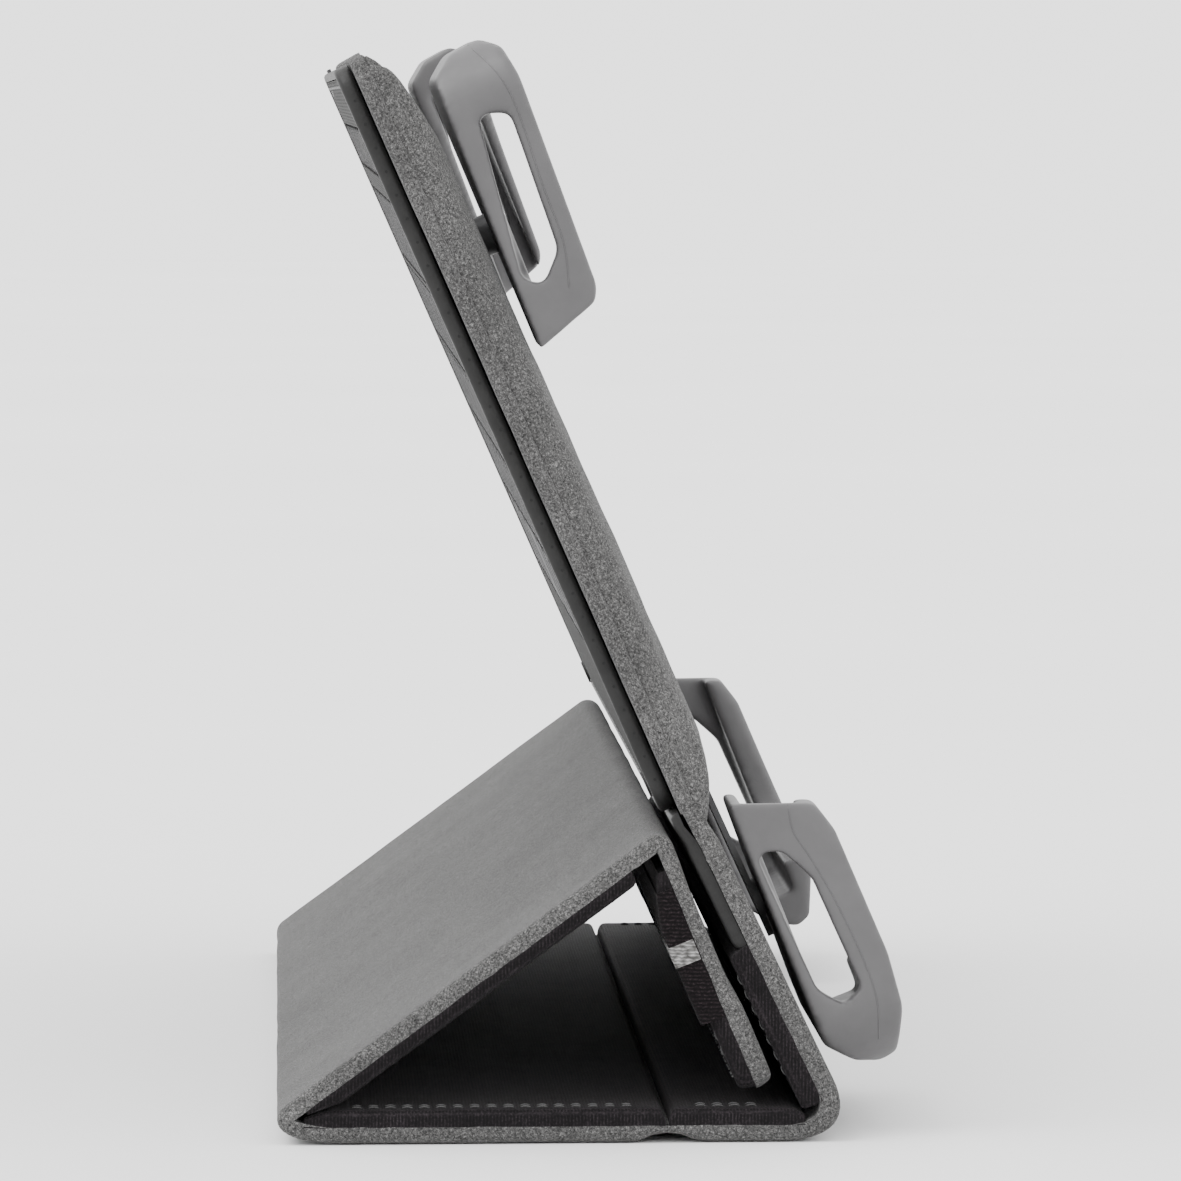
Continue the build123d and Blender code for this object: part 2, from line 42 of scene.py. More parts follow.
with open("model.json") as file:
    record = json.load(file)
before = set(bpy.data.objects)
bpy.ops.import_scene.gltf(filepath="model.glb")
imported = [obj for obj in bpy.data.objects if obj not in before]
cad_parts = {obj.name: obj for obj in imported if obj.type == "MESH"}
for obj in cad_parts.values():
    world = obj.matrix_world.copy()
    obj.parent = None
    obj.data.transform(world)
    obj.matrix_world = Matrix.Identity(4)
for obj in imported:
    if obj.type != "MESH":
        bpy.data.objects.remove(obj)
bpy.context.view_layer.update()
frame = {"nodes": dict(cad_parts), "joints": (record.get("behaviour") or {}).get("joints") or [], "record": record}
JOINTS = {j["name"]: j for j in frame["joints"]}
MOUNTS = {m["name"]: m for m in frame["record"]["mounts"]}
MM = 0.001

# ---- driving dimensions, millimetres and degrees ----
COVER_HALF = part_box("base_outer_cloth")[1].y / MM
HALF_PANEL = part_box("base_lining")[1].z / MM / 2
FOLD = 2.8                   # radius of the rolled cloth at the folds
LOWER_HALF = 3.2             # half thickness of the lower back
BACK_LEAN = 23.0
LOWER_LEAN = 25.6
LOWER_OFFSET = 2.5
UPPER_FROM = (55.0, -0.6)    # foot of the padded part: up the back, towards the tablet
UPPER_LENGTH = 136.7
LIP = 2.2                    # cloth shell behind the pad
PAD = 7.7                    # pad's front, from the shell's back
FLAP_LENGTH = 43.4
FLAP_DROP = 67.3
POCKET_FROM = 30.6
GROOVE_RELIEF = (9.0, 1.5)   # radius and depth of the hollow under the groove
FLAP_CORNER = 5.0            # plan radius of the flap's free corners
UPPER_CORNER = 6.0           # plan radius of the padded back's top corners
STITCH_INSET = 3.2           # outer stitch row, from the cover's edge
WALL = 1.6                   # keyboard's side wall
FLOOR_SKIN = 0.6             # keyboard's floor
OPENING_FROM = 0.9           # top edge's openings start this deep under the keyboard's floor face
# openings in the keyboard's top edge: (depth behind the edge, Y from, Y to, deepest level)
PORT, SWITCH, BUTTON = (6, -4.6, 4.6, 2.4), (5, 88, 98, 2.0), (5, 104, 110, 2.0)
GRIP_VOXEL = 0.55            # remesh size that rounds the grips' edges
STEP = 2.4                   # spacing of mesh rows
RIM_STEPS = 6


# ---- sections ----
def pivot(joint):
    x, _, z = JOINTS[joint]["pos_m"]
    return Vector((x / MM, z / MM))


def heading(degrees):
    turn = math.radians(degrees)
    return Vector((math.cos(turn), math.sin(turn)))


class Section:
    """Axes of one panel in the XZ plane: along it, and out towards its felt side."""

    def __init__(self, origin, angle, side):
        self.origin, self.angle = Vector(origin), angle
        self.along = heading(angle)
        self.out = heading(angle + 90 * side)

    def at(self, s, h):
        return self.origin + self.along * s + self.out * h


LOW, GROOVE, BACK, APEX = (pivot(j) for j in
                           ("prop_fold", "spine_crease", "back_tilt", "flap_fold"))
PROP_VECTOR = APEX - LOW
PROP_LENGTH = PROP_VECTOR.length
PROP_SLOPE = math.degrees(math.atan2(PROP_VECTOR.y, PROP_VECTOR.x))
SLIDE = JOINTS["keyboard_slide"]["axis"]
UPPER_ANGLE = math.degrees(math.atan2(SLIDE[2], SLIDE[0]))
BACK_REFERENCE = Section(BACK, 90 + BACK_LEAN, -1)

BASE = Section((LOW.x, HALF_PANEL), 0, -1)
SPINE = Section((BACK.x, HALF_PANEL), 180, 1)
PROP = Section(LOW, PROP_SLOPE, 1)
FLAP = Section(APEX, -FLAP_DROP, 1)
LOWER = Section(BACK_REFERENCE.at(0, LOWER_OFFSET), 90 + LOWER_LEAN, -1)
UPPER = Section(BACK_REFERENCE.at(*UPPER_FROM), UPPER_ANGLE, -1)
SEAT_AXIS = MOUNTS["tablet_seat"]["axis"]
SEAT = Section((MOUNTS["tablet_seat"]["pos_m"][0] / MM, MOUNTS["tablet_seat"]["pos_m"][2] / MM),
               90 + math.degrees(math.atan2(SEAT_AXIS[2], SEAT_AXIS[0])), -1)


def spot(point, y):
    """A section point at y, in metres in the row frame."""
    return Vector((point.x, y, point.y)) * MM


def lerp(a, b, t):
    return a + (b - a) * t


def smooth(t):
    t = min(1.0, max(0.0, t))
    return t * t * (3 - 2 * t)


def spaced(a, b, step=STEP):
    count = max(1, math.ceil(abs(b - a) / step))
    return [lerp(a, b, i / count) for i in range(count + 1)]


def bezier(points, count):
    a, b, c, d = (Vector(p) for p in points)
    made = []
    for i in range(count + 1):
        t = i / count
        u = 1 - t
        made.append(a * u ** 3 + b * 3 * u * u * t + c * 3 * u * t * t + d * t ** 3)
    return made


def arc(centre, radius, start, end, count):
    return [centre + heading(lerp(start, end, i / count)) * radius for i in range(count + 1)]


# ---- shells: closed cloth forms between an inner and an outer section line ----
def columns(half, rim, boxy, step):
    """(y, share of the height) across a shell whose two rims are rounded."""
    edge = []
    for k in range(RIM_STEPS + 1):
        t = k / RIM_STEPS * math.pi / 2
        inset = rim * (1 - math.cos(t) ** (2 / boxy))
        edge.append((half - inset, math.sin(t) ** (2 / boxy)))
    flat = half - rim
    near = [(y, 1.0) for y in spaced(flat, flat - 16, step)[1:]]
    middle = [(y, 1.0) for y in spaced(flat - 16, 0, step * 2)[1:]]
    right = edge + near + middle
    return [(-y, f) for y, f in right] + [(y, f) for y, f in reversed(right[:-1])]


def rounded_end(section, end, height, radius, boxy=2.5):
    """Rows (inner, outer) that close a shell at `end` with a rounded rim."""
    rows = []
    for k in range(RIM_STEPS, -1, -1):
        t = k / RIM_STEPS * math.pi / 2
        inset = radius * (1 - math.cos(t) ** (2 / boxy))
        rise = math.sin(t) ** (2 / boxy)
        s = end - math.copysign(inset, radius)
        rows.append((section.at(s, 0), section.at(s, height * rise)))
    return rows


def corner_inset(distance, radius):
    """How far a rounded plan corner draws in, at a distance from the panel's end."""
    if distance >= radius:
        return 0.0
    return radius - math.sqrt(max(0.0, radius ** 2 - (radius - distance) ** 2))


def ripple(point, y, pitch):
    return noise.noise(Vector((point.x, y, point.y)) / pitch)


def rim_weight(y, half, reach=4.0):
    return max(0.0, 1 - (half - abs(y)) / reach)


def shell(name, rows, half, rim=1.3, boxy=2.6, wave=0.10, seam=0.16, flip=1,
          plan=None, step=STEP, floor=None, sag=0.0):
    """Closed mesh between the rows' inner and outer points, spread along Y."""
    bm = bmesh.new()
    upper, lower = [], []
    for i, (inner, outer) in enumerate(rows):
        width = half - (plan(i) if plan else 0.0)
        normal = (outer - inner)
        normal = normal.normalized() if normal.length > 1e-6 else Vector((0, 0))
        line_up, line_low = [], []
        for y, share in columns(half, rim, boxy, step):
            y *= width / half
            scallop = seam * rim_weight(y, width) * ripple(inner, y * 0.2, 1.7)
            foot = inner + normal * scallop * flip
            swell = wave * share * (ripple(outer, y, 14) + 0.5 * ripple(outer, y, 5))
            swell += sag * share * ripple(Vector((7.0, 3.0)), y, 38)
            head = inner.lerp(outer, share) + normal * (swell + scallop * flip * (1 - share))
            if floor is not None:
                head.y = max(head.y, floor)
            line_up.append(bm.verts.new(spot(head, y)))
            line_low.append(bm.verts.new(spot(foot, y)))
        upper.append(line_up)
        lower.append(line_low)
    close(bm, upper, lower)
    return solid(name, bm)


def close(bm, upper, lower):
    """Faces of both grids, and of the strips that join their edges."""
    last = len(upper[0]) - 1
    for grid in (upper, lower):
        for i in range(len(grid) - 1):
            for j in range(last):
                quad = (grid[i][j], grid[i][j + 1], grid[i + 1][j + 1], grid[i + 1][j])
                bm.faces.new(quad if grid is upper else quad[::-1])
    for i in (0, len(upper) - 1):
        for j in range(last):
            bm.faces.new((upper[i][j], lower[i][j], lower[i][j + 1], upper[i][j + 1]))
    for i in range(len(upper) - 1):
        for j in (0, last):
            bm.faces.new((upper[i][j], upper[i + 1][j], lower[i + 1][j], lower[i][j]))


def solid(name, bm, smooth_below=50.0):
    """Object from a bmesh, with doubles merged and sharp edges kept."""
    bmesh.ops.remove_doubles(bm, verts=bm.verts, dist=2e-6)
    bmesh.ops.dissolve_degenerate(bm, edges=bm.edges, dist=1e-6)
    bmesh.ops.recalc_face_normals(bm, faces=bm.faces)
    limit = math.radians(smooth_below)
    for face in bm.faces:
        face.smooth = True
    for edge in bm.edges:
        if len(edge.link_faces) == 2 and edge.calc_face_angle(0) > limit:
            edge.smooth = False
    mesh = bpy.data.meshes.new(name)
    bm.to_mesh(mesh)
    bm.free()
    made = bpy.data.objects.new(name, mesh)
    bpy.context.scene.collection.objects.link(made)
    return made


def dress(obj, material):
    obj.data.materials.clear()
    obj.data.materials.append(material)
    return obj


# ---- materials ----
class Paint:
    """A material's node tree, with short calls for the nodes it needs."""

    def __init__(self, name, roughness, metallic=0.0, sheen=0.0, coat=0.0, specular=0.5):
        self.material = bpy.data.materials.new(name)
        self.material.use_nodes = True
        self.tree = self.material.node_tree
        self.shader = self.tree.nodes["Principled BSDF"]
        for socket, value in (("Roughness", roughness), ("Metallic", metallic),
                              ("Sheen Weight", sheen), ("Coat Weight", coat),
                              ("Specular IOR Level", specular)):
            self.shader.inputs[socket].default_value = value
        if sheen:
            self.shader.inputs["Sheen Roughness"].default_value = 0.45
        self.place = self.add("ShaderNodeTexCoord").outputs["Object"]

    def add(self, kind, **values):
        node = self.tree.nodes.new(kind)
        for key, value in values.items():
            if hasattr(node, key):
                setattr(node, key, value)
            else:
                node.inputs[key.replace("_", " ")].default_value = value
        return node

    def link(self, source, target):
        self.tree.links.new(source, target)

    def stretch(self, scale, turn=(0, 0, 0)):
        node = self.add("ShaderNodeMapping")
        node.inputs["Scale"].default_value = scale
        node.inputs["Rotation"].default_value = turn
        self.link(self.place, node.inputs["Vector"])
        return node.outputs["Vector"]

    def noise(self, scale, detail=2.0, roughness=0.5, vector=None):
        node = self.add("ShaderNodeTexNoise", Scale=scale, Detail=detail,
                        Roughness=roughness)
        self.link(vector or self.place, node.inputs["Vector"])
        return node.outputs["Fac"]

    def wave(self, scale, direction, distortion=0.0, vector=None):
        node = self.add("ShaderNodeTexWave", bands_direction=direction, Scale=scale,
                        Distortion=distortion)
        node.inputs["Detail"].default_value = 1.0
        node.inputs["Detail Scale"].default_value = 2.0
        self.link(vector or self.place, node.inputs["Vector"])
        return node.outputs["Fac"]

    def cells(self, scale, vector=None):
        node = self.add("ShaderNodeTexVoronoi", Scale=scale)
        self.link(vector or self.place, node.inputs["Vector"])
        return node.outputs["Distance"]

    def math(self, operation, a, b):
        node = self.add("ShaderNodeMath", operation=operation)
        for socket, value in zip(node.inputs, (a, b)):
            if isinstance(value, (int, float)):
                socket.default_value = value
            else:
                self.link(value, socket)
        return node.outputs[0]

    def ramp(self, factor, stops):
        node = self.add("ShaderNodeValToRGB")
        elements = node.color_ramp.elements
        while len(elements) < len(stops):
            elements.new(0.5)
        for element, (place, colour) in zip(elements, stops):
            element.position = place
            element.color = (*colour, 1)
        self.link(factor, node.inputs["Fac"])
        return node.outputs["Color"]

    def mix(self, factor, a, b, blend="MIX"):
        node = self.add("ShaderNodeMix", data_type="RGBA", blend_type=blend)
        sockets = [node.inputs[0], node.inputs[6], node.inputs[7]]
        for socket, value in zip(sockets, (factor, a, b)):
            if isinstance(value, (int, float)):
                socket.default_value = value
            elif isinstance(value, tuple):
                socket.default_value = (*value, 1)
            else:
                self.link(value, socket)
        return node.outputs[2]

    def bump(self, height, strength, distance, below=None):
        node = self.add("ShaderNodeBump", Strength=strength, Distance=distance)
        self.link(height, node.inputs["Height"])
        if below:
            self.link(below, node.inputs["Normal"])
        return node.outputs["Normal"]

    def finish(self, colour=None, roughness=None, normal=None):
        for value, socket in ((colour, "Base Color"), (roughness, "Roughness"),
                              (normal, "Normal")):
            if isinstance(value, tuple):
                self.shader.inputs[socket].default_value = (*value, 1)
            elif value is not None:
                self.link(value, self.shader.inputs[socket])
        return self.material


def grey(value, warm=0.0):
    return (value * (1 + warm), value, value * (1 - warm))


def heather():
    """Felted wool mix: pale and dark fibres, faint blotches, brushed nap."""
    p = Paint("heather_felt", 0.95, sheen=0.10, specular=0.12)
    speckle = p.noise(5200, 2.0, 0.7)
    fibres = p.noise(2300, 2.0, 0.6, p.stretch((1.0, 2.2, 1.0), (0.4, 0.7, 0.3)))
    mixed = p.math("ADD", p.math("MULTIPLY", speckle, 0.55), p.math("MULTIPLY", fibres, 0.45))
    base = p.ramp(mixed, [(0.36, grey(0.018)), (0.46, grey(0.054, 0.01)),
                          (0.55, grey(0.098, 0.012)), (0.67, grey(0.24, 0.015))])
    cloud = p.math("ADD", p.math("MULTIPLY", p.noise(60, 3.0, 0.6), 0.5),
                   p.math("MULTIPLY", p.noise(620, 2.0, 0.6), 0.5))
    blotch = p.ramp(cloud, [(0.36, grey(0.72)), (0.62, grey(1.0))])
    colour = p.mix(1.0, base, blotch, "MULTIPLY")
    nap = p.bump(p.noise(3600, 2.0, 0.7), 0.6, 0.0003)
    soft = p.bump(p.noise(260, 2.0), 0.25, 0.0006, nap)
    return p.finish(colour, None, soft)


def lining():
    """Dark plain-weave cloth with fine ribs and a fuzz of pale fibres at its edges."""
    p = Paint("lining_weave", 0.8, sheen=0.03, specular=0.14)
    warp = p.wave(560, "X", 1.2)
    weft = p.wave(560, "Y", 1.2)
    weave = p.math("MAXIMUM", warp, weft)
    slub = p.noise(170, 3.0, 0.6, p.stretch((1.0, 8.0, 1.0)))
    fuzz = p.noise(2600, 3.0, 0.75)
    ribbed = p.math("ADD", p.math("MULTIPLY", weave, 0.45), 0.55)
    tone = p.math("MULTIPLY", p.math("MULTIPLY", ribbed, fuzz), p.math("ADD", slub, 0.7))
    colour = p.ramp(tone, [(0.30, (0.0012, 0.0009, 0.0011)), (0.52, (0.0050, 0.0038, 0.0046)),
                           (0.85, (0.026, 0.021, 0.024))])
    height = p.bump(weave, 0.5, 0.00018, p.bump(fuzz, 0.5, 0.0003))
    drape = p.bump(p.noise(70, 2.0), 0.3, 0.0012, height)
    return p.finish(colour, None, drape)


def elastic():
    """Black woven elastic with cross ribs and a fuzzy face."""
    p = Paint("black_elastic", 0.9, sheen=0.04, specular=0.12)
    ribs = p.wave(480, "Z", 2.6)
    fuzz = p.noise(2300, 3.0, 0.75)
    tone = p.math("MULTIPLY", fuzz, p.math("ADD", p.math("MULTIPLY", ribs, 0.5), 0.7))
    colour = p.ramp(tone, [(0.34, (0.0012, 0.0007, 0.0009)), (0.55, (0.0055, 0.0036, 0.0044)),
                           (0.85, (0.034, 0.025, 0.028))])
    normal = p.bump(ribs, 0.5, 0.0003, p.bump(fuzz, 0.7, 0.0004))
    return p.finish(colour, None, normal)


def knit_stripe():
    """Light grey knitted stripe: rows of small loops."""
    p = Paint("grey_elastic", 0.85, sheen=0.1, specular=0.2)
    loops = p.cells(900, p.stretch((1.0, 0.7, 1.4)))
    rows = p.wave(520, "Z", 3.0)
    tone = p.math("MULTIPLY", p.math("ADD", rows, 0.7), p.math("SUBTRACT", 1.0, loops))
    colour = p.ramp(tone, [(0.2, grey(0.06, 0.03)), (0.6, grey(0.17, 0.02)),
                           (1.0, grey(0.32, 0.01))])
    return p.finish(colour, None, p.bump(tone, 0.9, 0.0006))


def thread():
    p = Paint("thread", 0.6, sheen=0.2, specular=0.3)
    twist = p.wave(2400, "DIAGONAL", 0.5)
    colour = p.ramp(twist, [(0.0, grey(0.04)), (1.0, grey(0.12))])
    return p.finish(colour, None, p.bump(twist, 0.5, 0.0001))


# near-black thread; the keyboard's pin holes also wear it as painted shade
def dark_thread_and_hole_shade():
    p = Paint("dark_thread_and_hole_shade", 0.7, specular=0.3)
    colour = p.ramp(p.wave(2400, "DIAGONAL", 0.5), [(0.0, grey(0.003)), (1.0, grey(0.012))])
    return p.finish(colour)


def silicone():
    """Satin grey rubber with a faint mottling and handling marks."""
    p = Paint("grip_silicone", 0.5, coat=0.08, specular=0.42)
    p.shader.inputs["Coat Roughness"].default_value = 0.35
    mottle = p.noise(90, 4.0, 0.6)
    colour = p.ramp(mottle, [(0.25, (0.058, 0.0565, 0.058)), (0.75, (0.078, 0.076, 0.078))])
    rough = p.ramp(p.noise(420, 3.0, 0.6), [(0.2, grey(0.42)), (0.8, grey(0.56))])
    return p.finish(colour, rough, p.bump(p.noise(1500, 2.0), 0.08, 0.0002))


def leatherette(name, tone, roughness):
    p = Paint(name, roughness, specular=0.25)
    grain = p.cells(1500)
    haze = p.noise(130, 3.0, 0.6)
    colour = p.ramp(haze, [(0.3, grey(tone * 0.75, 0.02)), (0.75, grey(tone * 1.3, 0.02))])
    rough = p.ramp(p.noise(600, 2.0), [(0.25, grey(roughness - 0.08)),
                                       (0.75, grey(roughness + 0.1))])
    return p.finish(colour, rough, p.bump(grain, 0.25, 0.00012))


def deck_cloth():
    """Cloth-like laminate of the keyboard's deck."""
    p = Paint("keyboard_deck", 0.8, specular=0.12)
    weave = p.math("MAXIMUM", p.wave(520, "Y", 0.4), p.wave(520, "Z", 0.4))
    tone = p.math("MULTIPLY", weave, p.math("ADD", p.noise(800, 2.0), 0.4))
    colour = p.ramp(tone, [(0.1, grey(0.012)), (0.9, grey(0.055, 0.01))])
    return p.finish(colour, None, p.bump(weave, 0.4, 0.00012))


def moulded(name, colour, roughness, grain=2200, strength=0.12, coat=0.0):
    """Injection-moulded plastic with a fine texture and slight wear in its gloss."""
    p = Paint(name, roughness, coat=coat, specular=0.45)
    shade = p.ramp(p.noise(60, 3.0), [(0.3, tuple(c * 0.88 for c in colour)),
                                      (0.7, tuple(min(1, c * 1.1) for c in colour))])
    rough = p.ramp(p.noise(300, 3.0), [(0.25, grey(max(0.05, roughness - 0.07))),
                                       (0.75, grey(min(1, roughness + 0.08)))])
    return p.finish(shade, rough, p.bump(p.noise(grain, 2.0), strength, 0.0001))


def metal(name, colour, roughness):
    p = Paint(name, roughness, metallic=1.0)
    brushed = p.noise(700, 2.0, 0.6, p.stretch((1, 9, 1)))
    shade = p.ramp(brushed, [(0.3, tuple(c * 0.8 for c in colour)), (0.7, colour)])
    rough = p.ramp(brushed, [(0.2, grey(roughness - 0.08)), (0.8, grey(roughness + 0.1))])
    return p.finish(shade, rough, p.bump(brushed, 0.1, 0.00005))


def foam():
    p = Paint("foam", 0.95, specular=0.1)
    pores = p.cells(1400)
    colour = p.ramp(pores, [(0.05, grey(0.05)), (0.5, grey(0.16))])
    return p.finish(colour, None, p.bump(pores, 0.6, 0.0003))


def fibreboard():
    p = Paint("stiffener_board", 0.85, specular=0.15)
    chips = p.noise(420, 4.0, 0.7)
    colour = p.ramp(chips, [(0.3, (0.030, 0.029, 0.028)), (0.7, (0.06, 0.058, 0.055))])
    return p.finish(colour, None, p.bump(chips, 0.3, 0.0002))


def pale_floor():
    p = Paint("pale_floor", 0.9, specular=0.1)
    colour = p.ramp(p.noise(3, 2.0), [(0.3, grey(0.75)), (0.7, grey(0.77))])
    return p.finish(colour)


FELT, LINING, ELASTIC, KNIT = heather(), lining(), elastic(), knit_stripe()
THREAD, DARK_THREAD_AND_HOLE_SHADE, SILICONE = thread(), dark_thread_and_hole_shade(), silicone()
POCKET = leatherette("pocket_leatherette", 0.012, 0.5)
SHELL = leatherette("keyboard_shell", 0.012, 0.48)
DECK = deck_cloth()
CAP = moulded("keycaps", (0.022, 0.021, 0.023), 0.6)
ARM = moulded("arm_nylon", (0.05, 0.05, 0.052), 0.45)


# ---- felt: one cloth, made in pieces that meet near the folds ----
def rows_to_groove(section, width, stop):
    """Felt under a flat panel, from the groove to `stop`, hollowed beside the groove."""
    radius, depth = GROOVE_RELIEF
    rows = []
    for s in spaced(width - 0.03, stop):
        fall = radius ** 2 - (width - s) ** 2
        lift = max(0.0, math.sqrt(max(0.0, fall)) - radius + depth)
        rows.append((section.at(s, 0), section.at(s, HALF_PANEL - lift)))
    return rows


def base_and_prop_felt():
    """From the groove, under the base, round the low fold and up over the prop."""
    width = GROOVE.x - LOW.x
    rows = rows_to_groove(BASE, width, 9.0)
    under = bezier([BASE.at(8, HALF_PANEL), BASE.at(1.5, HALF_PANEL),
                    LOW + Vector((-FOLD, -2.6)), LOW + Vector((-FOLD, 0))], 10)
    seam = bezier([BASE.at(8, 0), BASE.at(5, 0), LOW + Vector((1.6, -0.6)), LOW], 10)
    rows += list(zip(seam, under))
    turn = arc(LOW, FOLD, 180, PROP_SLOPE + 90, 6)[1:]
    rows += [(LOW.lerp(PROP.at(0.6, 0), i / 6), p) for i, p in enumerate(turn, 1)]
    rows += [(PROP.at(s, 0), PROP.at(s, HALF_PANEL)) for s in spaced(1.5, PROP_LENGTH - 6)]
    piece = shell("felt_base_and_prop", rows, COVER_HALF, floor=0.0)
    dress(piece, FELT)
    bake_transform(piece)
    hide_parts("base_outer_cloth", "base_prop_fold", "prop_outer_cloth")
    groove_felt()


def flap_felt():
    """From the prop's top, over the top fold and down the flap."""
    rows = [(PROP.at(s, 0), PROP.at(s, HALF_PANEL))
            for s in spaced(PROP_LENGTH - 6, PROP_LENGTH - 0.8, 1.3)]
    turn = arc(APEX, FOLD, PROP_SLOPE + 90, 90 - FLAP_DROP, 12)
    rows += [(APEX.copy(), p) for p in turn]
    height, bow = 2.5, 0.7   # the magnets draw the flap's foot towards the back

    def rise(s):
        return lerp(FOLD, height, min(1, s / 8)) + bow * smooth((s - 22) / 9)

    rows += [(FLAP.at(s, 0), FLAP.at(s, rise(s))) for s in spaced(0.8, FLAP_LENGTH - 2.4)]
    height = rise(FLAP_LENGTH)
    rows += rounded_end(FLAP, FLAP_LENGTH, height, 2.4)
    ends = [(outer - APEX).dot(FLAP.along) for _, outer in rows]
    piece = shell("felt_flap", rows, COVER_HALF,
                  plan=lambda i: corner_inset(FLAP_LENGTH - ends[i], FLAP_CORNER))
    dress(piece, FELT)
    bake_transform(piece)
    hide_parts("prop_flap_fold", "flap_outer_cloth")


def spine_and_back_felt():
    """From the groove, under the spine, round the back fold, up to the pad's foot."""
    width = BACK.x - GROOVE.x
    rows = rows_to_groove(SPINE, width, 7.0)
    under = bezier([SPINE.at(6, HALF_PANEL), SPINE.at(-3.2, HALF_PANEL),
                    LOWER.at(-2.5, LOWER_HALF), LOWER.at(5, LOWER_HALF)], 14)
    seam = bezier([SPINE.at(6, 0), SPINE.at(0, 0), LOWER.at(0, -0.4), LOWER.at(5, 0)], 14)
    rows += list(zip(seam, under))
    rows += [(LOWER.at(s, 0), LOWER.at(s, LOWER_HALF)) for s in spaced(7, 47)]
    foot_in, foot_out = UPPER.at(2.0, 0.1), UPPER.at(2.0, LIP + 0.4)
    rows += [(LOWER.at(49, 0).lerp(foot_in, t), LOWER.at(49, LOWER_HALF).lerp(foot_out, t))
             for t in (0, 0.35, 0.7, 1)]
    piece = shell("felt_spine_and_back", rows, COVER_HALF, floor=0.0)
    dress(piece, FELT)
    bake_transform(piece)
    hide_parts("spine_outer_cloth", "spine_back_fold", "back_lower_cloth",
                "crease_strip")


def groove_felt():
    """Cloth web drawn up into the groove between base and spine."""
    half = 2.6
    rows = []
    for i in range(9):
        t = i / 8 * 2 - 1
        x = GROOVE.x + half * t
        top = HALF_PANEL + 0.35 + 0.15 * t * t
        rows.append((Vector((x, top)), Vector((x, top - 1.35))))
    piece = shell("felt_groove", rows, COVER_HALF - 1.2, rim=0.8, wave=0.05)
    dress(piece, FELT)
    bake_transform(piece)
    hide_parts("groove_cloth")
    return piece


# ---- linings ----
def lining_piece(name, body, node, section, start, end, height, foot=(9.9, 0.0),
                 sag=0.0, plan=None):
    """Lining tray of one panel, away from the felt. Its height grows from the fold as
    foot = (height at the fold, rise along the panel) until it is full."""
    end_radius = 1.6

    def rise(s):
        return -min(height, foot[0] + foot[1] * s)

    rows = [(section.at(start, 0), section.at(start, rise(start) * share))
            for share in (0.0, 0.6, 0.9)]
    rows += [(section.at(s, 0), section.at(s, rise(s)))
             for s in spaced(start + 0.4, end - end_radius, 1.6)]
    rows += rounded_end(section, end, -height, end_radius)[1:]
    along = [(outer - section.origin).dot(section.along) for _, outer in rows]
    inset = (lambda i: plan(along[i])) if plan else None
    piece = shell(name, rows, COVER_HALF, rim=1.5, boxy=2.3, flip=-1, plan=inset,
                  sag=sag)
    dress(piece, LINING)
    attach(piece, body)
    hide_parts(node)


def linings():
    base_end = GROOVE.x - LOW.x - 0.3
    lining_piece("lining_base", "base", "base_lining", BASE, 1.6, base_end, HALF_PANEL,
                 (1.0, 0.31))
    lining_piece("lining_spine", "spine", "spine_lining", SPINE, 1.6,
                 BACK.x - GROOVE.x - 0.3, HALF_PANEL, (0.7, 0.55))
    lining_piece("lining_prop", "prop", "prop_lining", PROP, 2.4, PROP_LENGTH - 5.4,
                 HALF_PANEL - 0.4, (0.0, 0.30))
    lining_piece("lining_flap", "flap", "flap_lining", FLAP, 3.4, FLAP_LENGTH - 0.8,
                 HALF_PANEL, (0.0, 0.42),
                 plan=lambda s: corner_inset(FLAP_LENGTH - s, FLAP_CORNER))
    lining_piece("lining_back", "back", "back_lower_lining", LOWER, 2.4, POCKET_FROM + 0.6,
                 LOWER_HALF + 0.5, sag=0.3)


# ---- elastic band across the flap ----
def elastic_band():
    """Broad woven band with a knitted stripe, wrapped over the flap's lining."""
    start, end, stripe = 6.4, 29.5, (15.5, 19.1)

    def height(s):
        return -(lerp(HALF_PANEL + 0.1, HALF_PANEL + 1.7, min(1, (s - start) / 6)))

    def rows(a, b, extra):
        made = [(FLAP.at(a, -0.2), FLAP.at(a, -0.3))]
        made += [(FLAP.at(s, -0.2), FLAP.at(s, height(s) - extra)) for s in spaced(a, b, 1.2)]
        return made + [(FLAP.at(b, -0.2), FLAP.at(b, -0.3))]

    band = shell("band", rows(start, end, 0.0), COVER_HALF + 0.35, rim=1.2, wave=0.12,
                 seam=0.0)
    dress(band, ELASTIC)
    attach(band, "flap")
    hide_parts("elastic_band")
    knit = shell("band_knit_stripe", rows(*stripe, 0.2), COVER_HALF + 0.5, rim=1.2,
                 wave=0.15, seam=0.0, step=1.6)
    dress(knit, KNIT)
    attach(knit, "flap")
    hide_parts("band_stripe")


# ---- padded back ----
def pad_height(s):
    """Height of the pad's front: full soon above its foot, drawn in to the head."""
    foot = 1 - max(0.0, (9.0 - s) / 13.0) ** 2.2
    head = max(0.0, (s - (UPPER_LENGTH - 17.0)) / 16.2)
    return LIP + (PAD - LIP) * max(0.0, foot) * math.sqrt(max(0.0, 1 - head ** 2.4))


def pad():
    start, end = -3.4, UPPER_LENGTH - 1.0
    rows = [(UPPER.at(s, LIP - 0.05), UPPER.at(s, pad_height(s))) for s in
            spaced(start, 14, 1.4) + spaced(14, end - 16)[1:] + spaced(end - 16, end, 1.0)[1:]]
    piece = shell("pad", rows, COVER_HALF - 0.4, rim=2.4, boxy=3.2, wave=0.22, seam=0.1,
                  step=2.2)
    swell(piece)
    dress(piece, FELT)
    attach(piece, "back")
    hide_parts("pad_cloth")


